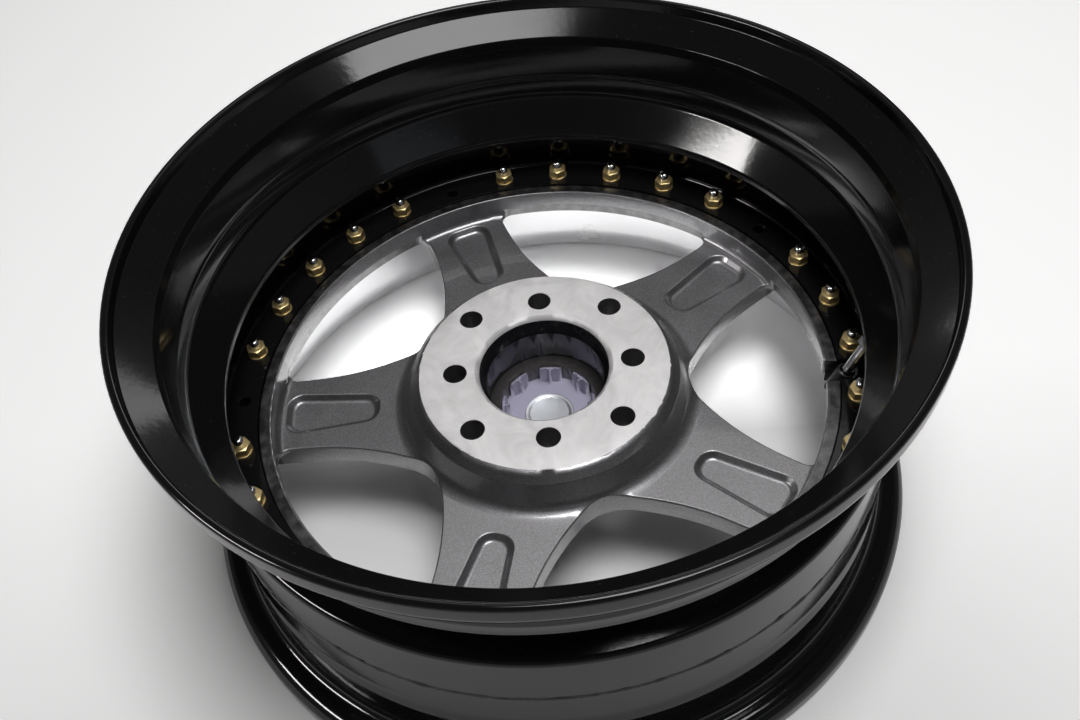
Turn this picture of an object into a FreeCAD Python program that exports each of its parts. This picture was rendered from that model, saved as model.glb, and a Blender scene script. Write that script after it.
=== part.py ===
import FreeCAD, Part
import math
import os
import re
import Sketcher

# Three-piece car wheel, lying on its outboard flange with the hub pad up.
# Millimetres and degrees. The origin is the centre of the hub pad, +Z points to the vehicle,
# and the middle of a window lies on +X, so that a spoke lies on -X.

SIZES = {
    # Rim contour
    "bead_radius": 190.1,
    "rim_width": 165.1,
    "wheel_offset": 7.0,
    "flange_height": 16.3,
    "flange_depth": 17.0,
    "heel_round": 6.5,
    "face_land": 0.4,
    "rim_wall": 4.4,
    "tip_land": 0.1,
    "seat_fall": 1.3,
    "hump_set": 29.5,
    "hump_half": 5.0,
    "hump_rise": 0.8,
    # Inner barrel
    "edge_step": 2.9,
    "edge_drop": 1.25,
    "crease_drop": 7.25,
    "crease_round": 1.0,
    "seat_round": 3.0,
    "hump_round": 6.0,
    "well_ledge": 12.8,
    "well_wall": 3.2,
    "well_low": 24.5,
    "well_land": 4.0,
    "well_rise": 20.0,
    "well_round": 3.5,
    "shoulder_round": 8.0,
    "foot_wall": 5.0,
    "foot_round": 4.0,
    "foot_fillet": 3.0,
    "ledge_round": 1.0,
    # Joint between the halves
    "seam_radius": 188.0,
    "seam_depth": 14.0,
    "barrel_flange": 7.5,
    "lip_flange": 5.0,
    "seam_step": 2.1,
    "seam_groove": 1.5,
    "bead_bulge": 0.7,
    "bead_gap": 0.1,
    "bead_round": 1.0,
    # Outer lip
    "lip_wall": 4.8,
    "lip_draft": 2.8,
    "lip_flare": 19.0,
    "lip_roll": 9.8,
    "lip_bend": 24.0,
    "lip_edge": 6.0,
    # Bolt ring
    "bolt_inset": 16.5,
    "bolt_land": 8.7,
    "bay_bolts": 5,
    "bolt_size": 6.0,
    "hole_gap": 0.2,
    "hole_chamfer": 1.0,
    "thread_gap": 0.05,
    "head_width": 10.0,
    "head_height": 5.5,
    "tip_reach": 5.2,
    "tip_dome": 1.4,
    "nut_width": 10.0,
    "nut_height": 5.2,
    "washer_radius": 5.8,
    "washer_height": 1.2,
    # Hub
    "pad_radius": 70.1,
    "bevel_radius": 76.0,
    "bevel_drop": 6.0,
    "root_radius": 82.0,
    "root_round": 9.0,
    "bore_radius": 36.5,
    "bore_chamfer": 2.5,
    "bore_depth": 10.5,
    "relief_radius": 33.5,
    "cap_shelf": 31.0,
    "cap_hole": 28.0,
    "hub_height": 47.0,
    "hub_face": 66.0,
    "bevel_round": 2.0,
    "face_round": 20.0,
    "tip_round": 8.0,
    "lug_circle_small": 100.0,
    "lug_circle_large": 114.3,
    "lug_count": 4,
    "lug_radius": 6.75,
    "lug_seat_depth": 26.0,
    "lug_seat_angle": 60.0,
    "lug_socket": 11.5,
    # Spokes and register ring
    "spoke_count": 5,
    "spoke_back": 22.5,
    "spoke_half": 25.4,
    "spoke_flare": 150.0,
    "spoke_straight": 6.0,
    "spoke_tip": 36.0,
    "spoke_bevel": 35.5,
    "bevel_angle": 40.0,
    "window_root": 81.8,
    "window_round": 30.0,
    "window_lap": 1.6,
    "window_corner": 7.0,
    "window_edge": 1.0,
    "window_top": 17.8,
    "centre_land": 6.9,
    "centre_chamfer": 2.0,
    "centre_flange": 6.0,
    "ring_wall": 7.2,
    "ring_gap": 0.2,
    "ring_rise": 11.3,
    "ring_edge": 0.8,
    "ring_fillet": 3.0,
    "recess_inner": 97.0,
    "recess_gap": 3.9,
    "recess_narrow": 9.4,
    "recess_wide": 15.0,
    "recess_round": 9.0,
    "recess_depth": 3.6,
    "recess_angle": 38.0,
    "recess_edge": 1.4,
    "recess_fillet": 3.2,
    # Centre cap
    "cap_flange": 31.3,
    "cap_plate": 3.2,
    "cap_crown": 1.5,
    "cap_round": 6.0,
    "tab_radius": 27.3,
    "tab_wall": 1.9,
    "tab_height": 10.5,
    "tab_count": 8,
    "tab_turn": 40.0,
    "tab_slot": 7.8,
    "rib_reach": 2.6,
    "rib_wall": 1.4,
    "rib_drop": 1.2,
    "disc_radius": 14.5,
    "disc_height": 1.4,
    "disc_dish": 0.6,
    "disc_rim": 1.6,
    # Tyre valve
    "valve_inset": 7.2,
    "valve_tilt": 20.5,
    "valve_hole": 4.15,
    "valve_neck": 3.95,
    "valve_stem": 3.1,
    "valve_thread": 3.85,
    "valve_bore": 2.4,
    "valve_head": 4.7,
    "valve_head_height": 2.6,
    "valve_head_round": 0.8,
    "valve_seal_round": 0.5,
    "valve_seal_height": 1.8,
    "valve_rest": 0.25,
    "valve_washer": 5.1,
    "valve_washer_height": 1.0,
    "valve_nut_width": 10.0,
    "valve_nut_height": 6.5,
    "valve_reach": 47.0,
    "valve_thread_length": 13.0,
    "valve_cap": 5.1,
    "valve_cap_length": 18.0,
    "valve_cap_end": 2.0,
    "valve_cap_round": 1.2,
    "valve_core_length": 24.0,
    "slot_half": 7.2,
    "slot_reach": 9.6,
}

# Heights and radii that several pieces share, worked out from the sizes
INBOARD = "(wheel_offset + rim_width / 2)"
OUTBOARD = "(wheel_offset - rim_width / 2)"
BEAD = "max(bead_radius; seam_radius + seam_step)"
TIP = "(%s + flange_height)" % BEAD
CURL = "(flange_height - heel_round - face_land)"
SEAT_LOW = "(%s - seat_fall)" % BEAD
TOP = "(%s + flange_depth)" % INBOARD
BOTTOM = "(%s - flange_depth)" % OUTBOARD
TIP_ROUND = "((rim_wall - tip_land) / 2)"
BOLT_CIRCLE = "(seam_radius - bolt_inset)"
FLANGE_BORE = "(%s - bolt_land)" % BOLT_CIRCLE
CENTRE_RADIUS = "(%s + centre_land)" % BOLT_CIRCLE
FOOT = "(seam_radius - foot_wall)"
WELL_INNER = "(%s - well_ledge)" % FOOT
WELL_OUTER = "(%s + well_wall)" % WELL_INNER
VALVE_SEAT = "(%s + valve_inset)" % WELL_INNER
SLOT_REACH = "(%s + slot_reach)" % FLANGE_BORE
NUT_SEAT = "(barrel_flange - seam_depth)"
CENTRE_SEAT = "(-seam_depth - lip_flange)"
HEAD_SEAT = "(%s - centre_flange)" % CENTRE_SEAT
PITCH = "(360 / (spoke_count * (bay_bolts + 1)))"
RING_OUTER = "(%s - ring_gap)" % FLANGE_BORE
RING_INNER = "(%s - ring_wall)" % RING_OUTER
WINDOW_RIM = "(%s + window_lap)" % RING_INNER
RECESS_OUTER = "(%s - recess_gap)" % RING_INNER
LAND_RIM = "(%s + window_corner)" % CENTRE_RADIUS
RING_TOP = "(%s + ring_rise)" % CENTRE_SEAT
ROOT_ROOM = "(recess_inner - root_radius - 2 * recess_edge)"
ROOT_ROUND = "min(root_round; %s)" % ROOT_ROOM
HALF_TURN = "(180deg / spoke_count)"
ROOT_CENTRE = "(window_root + window_round)"
CAP_SEAT = "(cap_plate - hub_height)"
WELL_SLOPE = "tan(valve_tilt * 1deg)"
WELL_THICK = "(well_wall / cos(valve_tilt * 1deg))"
WELL_FOOT = "(well_low - (%%s - %s) * %s)" % (WELL_INNER, WELL_SLOPE)

UP = FreeCAD.Vector(0, 0, 1)
TINY = 1e-4
ACROSS = FreeCAD.Vector(0, 1, 0)

doc = FreeCAD.newDocument("car_wheel")
sheet = doc.addObject("Spreadsheet::Sheet", "Sizes")
for row, (name, value) in enumerate(SIZES.items(), start=1):
    sheet.set("A%d" % row, name)
    sheet.set("B%d" % row, str(value))
    sheet.setAlias("B%d" % row, name)
doc.recompute()


def bound(text):
    """Point every size name in an expression at its cell."""
    def cell(match):
        name = match.group()
        return "Sizes." + name if name in SIZES else name

    return re.sub(r"[a-z_]{4,}", cell, str(text))


def number(text):
    """Value of a size expression."""
    return float(sheet.evalExpression(bound(text)))


def turned(angle, distance=0.0, height=0.0):
    """Placement at a height, moved out along +X and turned about the wheel axis."""
    turn = FreeCAD.Rotation(UP, angle)
    return FreeCAD.Placement(turn.multVec(FreeCAD.Vector(distance, 0, height)), turn)


def new_body(label):
    """Empty body that can hold several separate solids."""
    body = doc.addObject("PartDesign::Body", label)
    body.Label = label
    body.AllowCompound = True
    return body


def new_sketch(body, plane, offset=None):
    """Sketch on one of the body's own origin planes, with an optional offset placement."""
    sketch = body.newObject("Sketcher::SketchObject", "Sketch")
    datum = [item for item in body.Origin.OriginFeatures if item.Name.startswith(plane)][0]
    sketch.AttachmentSupport = [(datum, "")]
    sketch.MapMode = "FlatFace"
    if offset is not None:
        sketch.AttachmentOffset = offset
    return sketch


def constrain(sketch, items):
    """Add constraints given as (kind and geometry..., size expression or None)."""
    for *parts, text in items:
        if text is None:
            sketch.addConstraint(Sketcher.Constraint(*parts))
        else:
            index = sketch.addConstraint(Sketcher.Constraint(*parts, number(text)))
            sketch.setExpression("Constraints[%d]" % index, bound(text))


def place_point(sketch, geometry, end, across, up):
    """Fix a vertex by its two coordinates."""
    for kind, axis, text in (("DistanceX", -2, across), ("DistanceY", -1, up)):
        if str(text) == "0":
            constrain(sketch, [("PointOnObject", geometry, end, axis, None)])
        else:
            constrain(sketch, [(kind, -1, 1, geometry, end, text)])


def ccw_arc(sketch, centre, start, end):
    """Arc about a centre, drawn the way sketches store arcs."""
    first = math.atan2(start.y - centre.y, start.x - centre.x)
    last = math.atan2(end.y - centre.y, end.x - centre.x)
    if last < first:
        last += 2 * math.pi
    circle = Part.Circle(centre, UP, centre.distanceToPoint(start))
    return sketch.addGeometry(Part.ArcOfCircle(circle, first, last))


def outline(sketch, corners):
    """Closed polygon whose corners are (across, up) or (across, up, round) size expressions."""
    count = len(corners)
    points = [FreeCAD.Vector(number(c[0]), number(c[1]), 0) for c in corners]
    arrive, leave = [], []
    for i, corner in enumerate(corners):
        back = (points[i - 1] - points[i]).normalize()
        ahead = (points[(i + 1) % count] - points[i]).normalize()
        reach = number(corner[2]) / math.tan(back.getAngle(ahead) / 2) if len(corner) > 2 else 0
        arrive.append(points[i] + back * reach)
        leave.append(points[i] + ahead * reach)
    edges = [sketch.addGeometry(Part.LineSegment(leave[i], arrive[(i + 1) % count])) for i in range(count)]
    for i, corner in enumerate(corners):
        before, after = edges[i - 1], edges[i]
        if len(corner) == 2:
            constrain(sketch, [("Coincident", before, 2, after, 1, None)])
            place_point(sketch, after, 1, corner[0], corner[1])
            continue
        back = (points[i - 1] - points[i]).normalize()
        ahead = (points[(i + 1) % count] - points[i]).normalize()
        middle = (back + ahead).normalize()
        centre = points[i] + middle * (number(corner[2]) / math.sin(back.getAngle(ahead) / 2))
        left_turn = ahead.cross(back).z > 0
        first, last = (arrive[i], leave[i]) if left_turn else (leave[i], arrive[i])
        arc = ccw_arc(sketch, centre, first, last)
        mark = sketch.addGeometry(Part.Point(points[i]), True)
        constrain(sketch, [
            ("Tangent", before, 2, arc, 1 if left_turn else 2, None),
            ("Tangent", after, 1, arc, 2 if left_turn else 1, None),
            ("PointOnObject", mark, 1, before, None),
            ("PointOnObject", mark, 1, after, None),
            ("Radius", arc, corner[2]),
        ])
        place_point(sketch, mark, 1, corner[0], corner[1])


def circle(sketch, across, up, radius):
    """Circle with a bound centre and radius."""
    centre = FreeCAD.Vector(number(across), number(up), 0)
    item = sketch.addGeometry(Part.Circle(centre, UP, number(radius)))
    constrain(sketch, [("Radius", item, radius)])
    place_point(sketch, item, 3, across, up)


def hexagon(sketch, across, width):
    """Regular hexagon round a point on +X, with its flats facing along Y."""
    corner = "(%s / sqrt(3))" % width
    outline(sketch, [
        ("%s + %s" % (across, corner), "0"),
        ("%s + %s / 2" % (across, corner), "%s / 2" % width),
        ("%s - %s / 2" % (across, corner), "%s / 2" % width),
        ("%s - %s" % (across, corner), "0"),
        ("%s - %s / 2" % (across, corner), "-%s / 2" % width),
        ("%s + %s / 2" % (across, corner), "-%s / 2" % width),
    ])


def revolve(body, corners, axis="V_Axis"):
    """Solid of revolution from an outline of (radius, height) corners."""
    sketch = new_sketch(body, "XZ_Plane")
    outline(sketch, corners)
    feature = body.newObject("PartDesign::Revolution", "Revolution")
    feature.Profile = sketch
    feature.ReferenceAxis = (sketch, [axis])
    feature.Angle = 360
    return feature


def pad(body, sketch, length):
    """Raise a sketch along its normal."""
    feature = body.newObject("PartDesign::Pad", "Pad")
    feature.Profile = sketch
    feature.setExpression("Length", bound(length))
    return feature


def pocket(body, sketch, length=None, taper=None, upward=False):
    """Cut a sketch downward by a length, or right through."""
    feature = body.newObject("PartDesign::Pocket", "Pocket")
    feature.Profile = sketch
    feature.Reversed = upward
    if length is None:
        feature.Type = "ThroughAll"
    else:
        feature.setExpression("Length", bound(length))
    if taper is not None:
        feature.setExpression("TaperAngle", bound(taper))
    return feature


def pattern(body, features, count, angle="360"):
    """Repeat features about the wheel axis."""
    feature = body.newObject("PartDesign::PolarPattern", "PolarPattern")
    feature.Originals = features
    axis = [item for item in body.Origin.OriginFeatures if item.Name.startswith("Z_Axis")][0]
    feature.Axis = (axis, [""])
    feature.setExpression("Angle", bound(angle))
    feature.setExpression("Occurrences", bound(count))
    body.Tip = feature
    return feature


def valve_slot(body, top, depth):
    """Radial slot that lets the valve pass the bolted flanges."""
    sketch = new_sketch(body, "XY_Plane", turned(-number(PITCH) / 2, 0, number(top)))
    inner = "(%s - slot_half)" % RING_INNER
    outline(sketch, [
        (inner, "-slot_half"),
        (SLOT_REACH, "-slot_half", "slot_half - face_land"),
        (SLOT_REACH, "slot_half", "slot_half - face_land"),
        (inner, "slot_half"),
    ])
    return pocket(body, sketch, depth)


def ring_holes(body, top, depth):
    """Full circle of bolt holes through a flange."""
    sketch = new_sketch(body, "XY_Plane", turned(0, 0, number(top)))
    circle(sketch, BOLT_CIRCLE, "0", "bolt_size / 2 + hole_gap")
    hole = pocket(body, sketch, depth)
    return pattern(body, [hole], "spoke_count * (bay_bolts + 1)")


def hole_rims(body, top):
    """Countersunk rims of the bolt holes on the brake side."""
    sketch = new_sketch(body, "XZ_Plane")
    edge = BOLT_CIRCLE + " + bolt_size / 2 + hole_gap"
    outline(sketch, [
        (BOLT_CIRCLE, top + " + face_land"),
        (BOLT_CIRCLE, top + " - hole_chamfer"),
        (edge, top + " - hole_chamfer"),
        (edge + " + hole_chamfer + face_land", top + " + face_land"),
    ])
    rim = body.newObject("PartDesign::Groove", "Groove")
    rim.Profile = sketch
    rim.ReferenceAxis = (sketch, ["Edge1"])
    rim.Angle = 360
    return pattern(body, [rim], "spoke_count * (bay_bolts + 1)")


def valve_frame(along=0.0):
    """Placement on the valve axis, +Z to the tyre side, at a distance from the rim's inside face."""
    tilt = FreeCAD.Rotation(ACROSS, number("valve_tilt"))
    seat = FreeCAD.Vector(number(VALVE_SEAT), 0, number(WELL_FOOT % VALVE_SEAT))
    local = FreeCAD.Placement(seat + tilt.multVec(UP * along), tilt)
    return turned(-number(PITCH) / 2).multiply(local)


# Inner barrel, with its flange, drop well and bolted foot
def inner_barrel():
    body = new_body("inner_barrel")
    floor = "(well_low + well_land)"
    hump = "(%s - hump_set)" % INBOARD
    outer_foot = "(" + WELL_FOOT + " + " + WELL_THICK + ")"
    revolve(body, [
        (FLANGE_BORE, "-seam_depth"),
        ("seam_radius - seam_groove", "-seam_depth"),
        ("seam_radius", "seam_groove - seam_depth"),
        ("seam_radius", outer_foot % "seam_radius", "foot_round"),
        (WELL_OUTER, outer_foot % WELL_OUTER, "ledge_round"),
        (WELL_OUTER, floor + " + well_wall / 2", "well_round"),
        (SEAT_LOW, floor + " + well_wall / 2 + well_rise", "shoulder_round"),
        (SEAT_LOW, hump + " - hump_half"),
        (SEAT_LOW + " + hump_rise", hump, "hump_round"),
        (SEAT_LOW, hump + " + hump_half"),
        (BEAD, INBOARD, "heel_round"),
        (TIP, INBOARD, CURL),
        (TIP, TOP, TIP_ROUND),
        (TIP + " - rim_wall", TOP, TIP_ROUND),
        (TIP + " - rim_wall", TOP + " - crease_drop", "crease_round"),
        (BEAD + " - edge_step", INBOARD + " - edge_drop", "crease_round"),
        (BEAD + " - rim_wall", INBOARD + " - heel_round", "seat_round"),
        (SEAT_LOW + " - rim_wall", hump + " + hump_half"),
        (SEAT_LOW + " - rim_wall + hump_rise", hump, "hump_round"),
        (SEAT_LOW + " - rim_wall", hump + " - hump_half"),
        (SEAT_LOW + " - rim_wall", floor + " + well_rise", "shoulder_round"),
        (WELL_INNER, floor, "well_round"),
        (WELL_INNER, "well_low", "ledge_round"),
        (FOOT, WELL_FOOT % FOOT, "ledge_round"),
        (FOOT, NUT_SEAT, "foot_fillet"),
        (FLANGE_BORE, NUT_SEAT),
    ])
    ring_holes(body, NUT_SEAT, "barrel_flange")
    hole_rims(body, NUT_SEAT)
    valve_slot(body, NUT_SEAT, "barrel_flange")
    drill = new_sketch(body, "XY_Plane", valve_frame(-number("foot_round")))
    circle(drill, "0", "0", "valve_hole")
    pocket(body, drill, "2 * foot_round + rim_wall", upward=True)
    return body


# Outer lip, the half that shows from the street side
def outer_lip():
    body = new_body("outer_lip")
    hump = "(%s + hump_set)" % OUTBOARD
    revolve(body, [
        (FLANGE_BORE, CENTRE_SEAT),
        ("seam_radius - lip_wall", CENTRE_SEAT, "foot_round"),
        ("seam_radius - lip_wall + lip_draft", BOTTOM + " + lip_flare", "lip_bend"),
        ("seam_radius - lip_wall + lip_draft + lip_roll", BOTTOM, "lip_edge"),
        (TIP, BOTTOM, TIP_ROUND),
        (TIP, OUTBOARD, CURL),
        (BEAD, OUTBOARD, "heel_round"),
        (SEAT_LOW, hump + " - hump_half"),
        (SEAT_LOW + " + hump_rise", hump, "hump_round"),
        (SEAT_LOW, hump + " + hump_half"),
        ("seam_radius", hump + " + 2 * hump_half"),
        ("seam_radius", "-seam_depth - seam_groove"),
        ("seam_radius - seam_groove", "-seam_depth"),
        (FLANGE_BORE, "-seam_depth"),
    ])
    ring_holes(body, "-seam_depth", "lip_flange")
    valve_slot(body, "-seam_depth", "lip_flange")
    return body


# Bead of sealant in the groove between the two halves
def seam_sealant():
    body = new_body("seam_sealant")
    side = "(seam_groove - bead_gap)"
    revolve(body, [
        ("seam_radius - %s" % side, "-seam_depth"),
        ("seam_radius", "-seam_depth - %s" % side),
        ("seam_radius + bead_bulge", "-seam_depth", "bead_round"),
        ("seam_radius", "%s - seam_depth" % side),
    ])
    return body


def flare_radius(rim, corner):
    """Radius of a spoke's flared side, limited so that a straight stretch is left at its tip."""
    run = "sqrt((%s - %s) ^ 2 - (spoke_half + %s) ^ 2)" % (rim, corner, corner)
    start = "(%s - spoke_straight)" % run
    across = "(%s * cos(%s))" % (ROOT_CENTRE, HALF_TURN)
    aside = "(%s * sin(%s) - spoke_half)" % (ROOT_CENTRE, HALF_TURN)
    reach = "((%s - %s) ^ 2 + %s ^ 2 - window_round ^ 2)" % (start, across, aside)
    return "min(spoke_flare; %s / (2 * (%s - window_round)))" % (reach, aside)


def window(sketch, rim, corner):
    """Window outline between two spokes: root arc, flared sides, straight sides and a rim arc."""
    half = math.pi / number("spoke_count")
    along = FreeCAD.Vector(math.cos(half), math.sin(half), 0)
    aside = FreeCAD.Vector(math.sin(half), -math.cos(half), 0)
    side_radius = flare_radius(rim, corner)
    width, flare = number("spoke_half"), number(side_radius)
    root, rim_radius, fillet = number("window_round"), number(rim), number(corner)
    root_centre = FreeCAD.Vector(number("window_root") + root, 0, 0)
    gap = aside * (width + flare) - root_centre
    lean = along.dot(gap)
    start = -lean + math.sqrt(lean ** 2 - gap.dot(gap) + (flare - root) ** 2)
    flare_centre = along * start + aside * (width + flare)
    root_end = flare_centre + (root_centre - flare_centre) * (flare / (flare - root))
    side_end = along * start + aside * width
    run = math.sqrt((rim_radius - fillet) ** 2 - (width + fillet) ** 2)
    corner_centre = along * run + aside * (width + fillet)
    corner_start = along * run + aside * width
    corner_end = corner_centre * (rim_radius / (rim_radius - fillet))

    def low(point):
        return FreeCAD.Vector(point.x, -point.y, 0)

    ids = [
        ccw_arc(sketch, root_centre, root_end, low(root_end)),
        ccw_arc(sketch, low(flare_centre), low(root_end), low(side_end)),
        sketch.addGeometry(Part.LineSegment(low(side_end), low(corner_start))),
        ccw_arc(sketch, low(corner_centre), low(corner_start), low(corner_end)),
        ccw_arc(sketch, FreeCAD.Vector(), low(corner_end), corner_end),
        ccw_arc(sketch, corner_centre, corner_end, corner_start),
        sketch.addGeometry(Part.LineSegment(corner_start, side_end)),
        ccw_arc(sketch, flare_centre, side_end, root_end),
    ]
    constrain(sketch, [("Tangent", ids[i - 1], 2, ids[i], 1, None) for i in range(len(ids))])
    constrain(sketch, [
        ("Coincident", ids[4], 3, -1, 1, None),
        ("Radius", ids[4], rim),
        ("PointOnObject", ids[0], 3, -1, None),
        ("DistanceX", -1, 1, ids[0], 3, "window_root + window_round"),
        ("Radius", ids[0], "window_round"),
        ("Radius", ids[1], side_radius),
        ("Equal", ids[1], ids[7], None),
        ("Radius", ids[3], corner),
        ("Equal", ids[3], ids[5], None),
        ("Distance", -1, 1, ids[2], "spoke_half"),
        ("Distance", -1, 1, ids[6], "spoke_half"),
        ("Angle", ids[2], -half, None),
        ("Angle", ids[6], half - math.pi, None),
    ])


def lug_holes(body, lug_circle, turn):
    """Lug holes on one bolt circle, each with a conical nut seat and a socket well on the face."""
    centre = "(%s / 2)" % lug_circle
    seat = "(lug_seat_depth - hub_height)"
    cone = "((lug_socket - lug_radius) / tan(lug_seat_angle / 2 * 1deg))"
    offset = FreeCAD.Placement(FreeCAD.Vector(), FreeCAD.Rotation(ACROSS, turn))
    sketch = new_sketch(body, "XZ_Plane", offset)
    outline(sketch, [
        (centre, "bore_chamfer"),
        (centre, "-hub_height - bore_chamfer"),
        (centre + " + lug_socket", "-hub_height - bore_chamfer"),
        (centre + " + lug_socket", seat + " - " + cone),
        (centre + " + lug_radius", seat),
        (centre + " + lug_radius", "bore_chamfer"),
    ])
    groove = body.newObject("PartDesign::Groove", "Groove")
    groove.Profile = sketch
    groove.ReferenceAxis = (sketch, ["Edge1"])
    groove.Angle = 360
    return pattern(body, [groove], "lug_count")


# Cast centre: hub, five spokes and the register ring that pilots the two rim halves
def spoke_centre():
    body = new_body("spoke_centre")
    revolve(body, [
        ("bore_radius + bore_chamfer", "0"),
        ("pad_radius", "0"),
        ("bevel_radius", "-bevel_drop", "bevel_round"),
        ("root_radius", "-spoke_back", ROOT_ROUND),
        (RING_INNER, "-spoke_back", "ring_fillet"),
        (RING_INNER, RING_TOP, "ring_edge"),
        (RING_OUTER, RING_TOP, "ring_edge"),
        (RING_OUTER, CENTRE_SEAT),
        (CENTRE_RADIUS, CENTRE_SEAT),
        (CENTRE_RADIUS, HEAD_SEAT + " - centre_chamfer"),
        (FLANGE_BORE, "-spoke_tip", "tip_round"),
        ("hub_face", "-hub_height", "face_round"),
        ("cap_flange + ring_gap", "-hub_height"),
        ("cap_flange + ring_gap", CAP_SEAT),
        ("cap_hole", CAP_SEAT),
        ("cap_hole", "-cap_shelf"),
        ("relief_radius", "-cap_shelf"),
        ("relief_radius", "-bore_depth"),
        ("bore_radius", "-bore_depth"),
        ("bore_radius", "-bore_chamfer"),
    ])
    opening = new_sketch(body, "XY_Plane", turned(0, 0, -number("window_top")))
    window(opening, WINDOW_RIM, "window_corner")
    through = pocket(body, opening)

    land = new_sketch(body, "XY_Plane", turned(0, 0, number(HEAD_SEAT)))
    window(land, LAND_RIM, "window_corner / 2")
    bolt_land = pocket(body, land)

    edge = new_sketch(body, "XY_Plane", turned(0, 0, -number("spoke_bevel")))
    window(edge, LAND_RIM, "window_corner / 2")
    face_edge = pocket(body, edge, "hub_height - spoke_bevel + bore_chamfer", "bevel_angle")

    spoke_turn = turned(180 / number("spoke_count"), 0, -number("spoke_back"))
    dish = new_sketch(body, "XY_Plane", spoke_turn)
    outline(dish, [
        ("recess_inner", "-recess_narrow", "recess_round"),
        (RECESS_OUTER, "-recess_wide", "recess_round"),
        (RECESS_OUTER, "recess_wide", "recess_round"),
        ("recess_inner", "recess_narrow", "recess_round"),
    ])
    recess = pocket(body, dish, "recess_depth", "-recess_angle")

    bolts = new_sketch(body, "XY_Plane", turned(0, 0, number(CENTRE_SEAT)))
    for place in bay_places():
        angle = "(%d * %s * 1deg)" % (place, PITCH)
        across = "%s * cos(%s)" % (BOLT_CIRCLE, angle)
        aside = "%s * sin(%s)" % (BOLT_CIRCLE, angle) if place else "0"
        circle(bolts, across, aside, "bolt_size / 2 + hole_gap")
    bolt_holes = pocket(body, bolts, "centre_flange")

    pattern(body, [through, bolt_land, face_edge, recess, bolt_holes], "spoke_count")
    back = -number("spoke_back")
    fillet(body, recess_rims(body, back - number("recess_depth")), "recess_fillet")
    fillet(body, recess_rims(body, back), "recess_edge")
    fillet(body, window_rims(body), "window_edge")
    lug_holes(body, "lug_circle_small", 0)
    lug_holes(body, "lug_circle_large", 180 / number("lug_count"))
    valve_slot(body, RING_TOP, "ring_rise + centre_flange")
    return body


def recess_rims(body, height):
    """Names of the level edges that go round the recesses at a height."""
    doc.recompute()
    reach = (number("recess_inner") - number("recess_round"), number(RECESS_OUTER) + number("ring_gap"))
    names = []
    for index, edge in enumerate(body.Shape.Edges, start=1):
        box = edge.BoundBox
        middle = box.Center
        across = math.hypot(middle.x, middle.y)
        spoke = (math.degrees(math.atan2(middle.y, middle.x)) * number("spoke_count") / 180) % 2
        aside = across * math.sin(math.radians(abs(spoke - 1) * 180 / number("spoke_count")))
        level = abs(box.ZMax - height) < TINY and abs(box.ZMin - height) < TINY
        if level and reach[0] < across < reach[1] and aside < number("recess_wide") + TINY:
            names.append("Edge%d" % index)
    return names


def window_rims(body):
    """Names of the edges where the window walls meet the backs of the spokes."""
    doc.recompute()
    edges = body.Shape.Edges
    names = set()
    for face in body.Shape.Faces:
        box = face.BoundBox
        first, last, low, high = face.ParameterRange
        upright = abs(face.normalAt((first + last) / 2, (low + high) / 2).z) < TINY
        outside_hub = math.hypot(box.Center.x, box.Center.y) > number("root_radius")
        to_bevel = box.ZMin < TINY - number("spoke_bevel")
        if not (upright and outside_hub and to_bevel):
            continue
        for edge in face.Edges:
            level = edge.BoundBox.ZLength < edge.Length / 2
            if level and edge.BoundBox.ZMin > -number("spoke_back") - TINY:
                names |= {"Edge%d" % i for i, other in enumerate(edges, start=1) if other.isSame(edge)}
    return sorted(names)


def fillet(body, names, radius):
    """Round the named edges of the body as it stands."""
    base = body.Tip
    feature = body.newObject("PartDesign::Fillet", "Fillet")
    feature.Base = (base, names)
    feature.setExpression("Radius", bound(radius))
    body.Tip = feature
    return feature


def bay_places():
    """Bolt positions of one window, counted in pitches from its middle."""
    side = int(number("bay_bolts")) // 2
    return range(-side, side + 1)


def bay(body, index, features):
    """Repeat one fastener along a bay and turn the bay to its window."""
    pattern(body, features, "bay_bolts", "(bay_bolts - 1) * %s" % PITCH)
    middle = 360 / number("spoke_count") * index
    body.Placement = turned(middle - number(PITCH) * (number("bay_bolts") - 1) / 2)


# Bolts with their heads on the street side
def bolts_bay(index):
    body = new_body("bolts_bay_%d" % (index + 1))
    head = new_sketch(body, "XY_Plane", turned(0, 0, number(HEAD_SEAT + " - head_height")))
    hexagon(head, BOLT_CIRCLE, "head_width")
    head_pad = pad(body, head, "head_height")
    tip = "(%s + washer_height + nut_height + tip_reach)" % NUT_SEAT
    shank = revolve(body, [
        (BOLT_CIRCLE, tip),
        (BOLT_CIRCLE, HEAD_SEAT),
        (BOLT_CIRCLE + " + bolt_size / 2", HEAD_SEAT),
        (BOLT_CIRCLE + " + bolt_size / 2", tip, "tip_dome"),
    ], "Edge1")
    bay(body, index, [head_pad, shank])
    return body


# Washers under the nuts
def washers_bay(index):
    body = new_body("washers_bay_%d" % (index + 1))
    sketch = new_sketch(body, "XY_Plane", turned(0, 0, number(NUT_SEAT)))
    circle(sketch, BOLT_CIRCLE, "0", "washer_radius")
    circle(sketch, BOLT_CIRCLE, "0", "bolt_size / 2 + hole_gap")
    bay(body, index, [pad(body, sketch, "washer_height")])
    return body


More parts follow.
